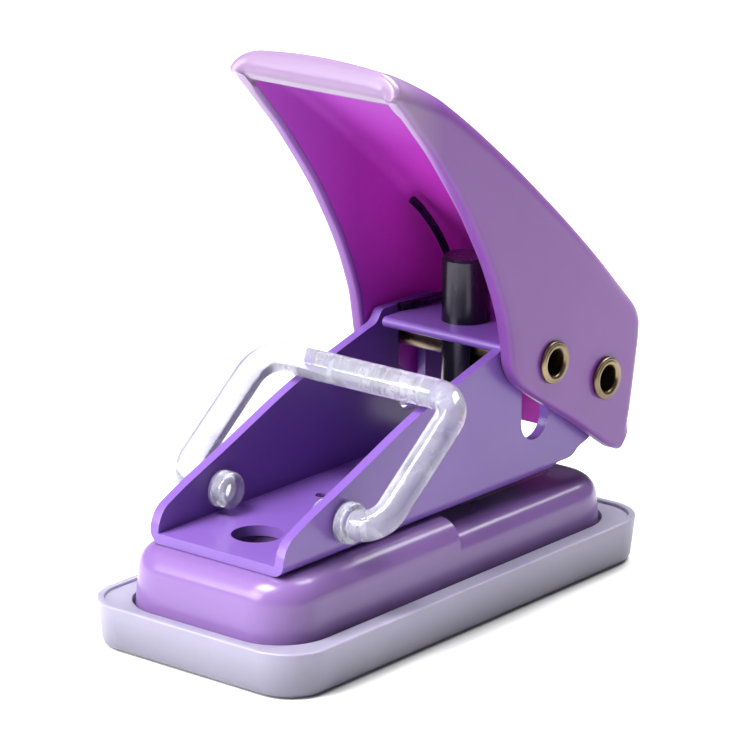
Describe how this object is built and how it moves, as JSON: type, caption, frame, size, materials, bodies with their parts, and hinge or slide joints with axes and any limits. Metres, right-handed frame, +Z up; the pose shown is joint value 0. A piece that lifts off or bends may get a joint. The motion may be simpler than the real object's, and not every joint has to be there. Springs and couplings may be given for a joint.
{
  "type": "one-hole paper punch",
  "caption": "Hand-held one-hole paper punch: sprung cover lever on a folded steel frame, punch pin and die, clear lock bail, and a pull-off chip tray.",
  "frame": {"origin": "centre of the chip tray's flat underside", "axes": "+Z up; -Y front, where the lever's nose and the open channel are; +Y rear, where the lever pivots; +X the punch's right-hand side, along the lever's pivot"},
  "size_m": [0.0464, 0.0976, 0.0931],
  "materials": {
    "tray_frosted": "frosted translucent moulded polyethylene",
    "shell_purple": "glossy moulded plastic",
    "frame_violet": "glossy stoved enamel on folded sheet steel",
    "lever_purple": "slightly translucent glossy moulded plastic",
    "pin_black": "polished black oxide",
    "die_steel": "ground steel",
    "rivet_brass": "antique brass plate",
    "spring_wire": "dark drawn wire",
    "bail_clear": "clear moulded acrylic",
    "screw_steel": "zinc plate"
  },
  "bodies": {
    "base": {"base_shell": "shell_purple", "die_plate": "die_steel", "frame_channel": "frame_violet", "pivot_rivet": "rivet_brass", "frame_screws": "screw_steel", "torsion_spring": "spring_wire"},
    "lever": {"lever": "lever_purple", "drive_rivet": "rivet_brass"},
    "punch": {"punch_pin": "pin_black"},
    "bail": {"lock_bail": "bail_clear"},
    "tray": {"chip_tray": "tray_frosted"}
  },
  "joints": [
    {"name": "lever_hinge", "type": "hinge", "parent": "base", "child": "lever", "pos_m": [0, 0.0398, 0.0317], "axis": [1, 0, 0], "range_deg": [0, 25], "stiffness_Nm_per_rad": 0.25, "springref_deg": -34.38, "deforming": ["torsion_spring"]},
    {"name": "punch_slide", "type": "slide", "parent": "base", "child": "punch", "axis": [0, 0, -1], "range_m": [0, 0.0067]},
    {"name": "bail_hinge", "type": "hinge", "parent": "base", "child": "bail", "pos_m": [0, -0.024, 0.0226], "axis": [1, 0, 0], "range_deg": [0, 150]},
    {"name": "tray_slide", "type": "slide", "parent": "base", "child": "tray", "axis": [0, 0, -1], "range_m": [0, 0.015]}
  ],
  "couplings": [
    {"joint": "punch_slide", "follows": "lever_hinge", "m_per_rad": 0.01518}
  ]
}
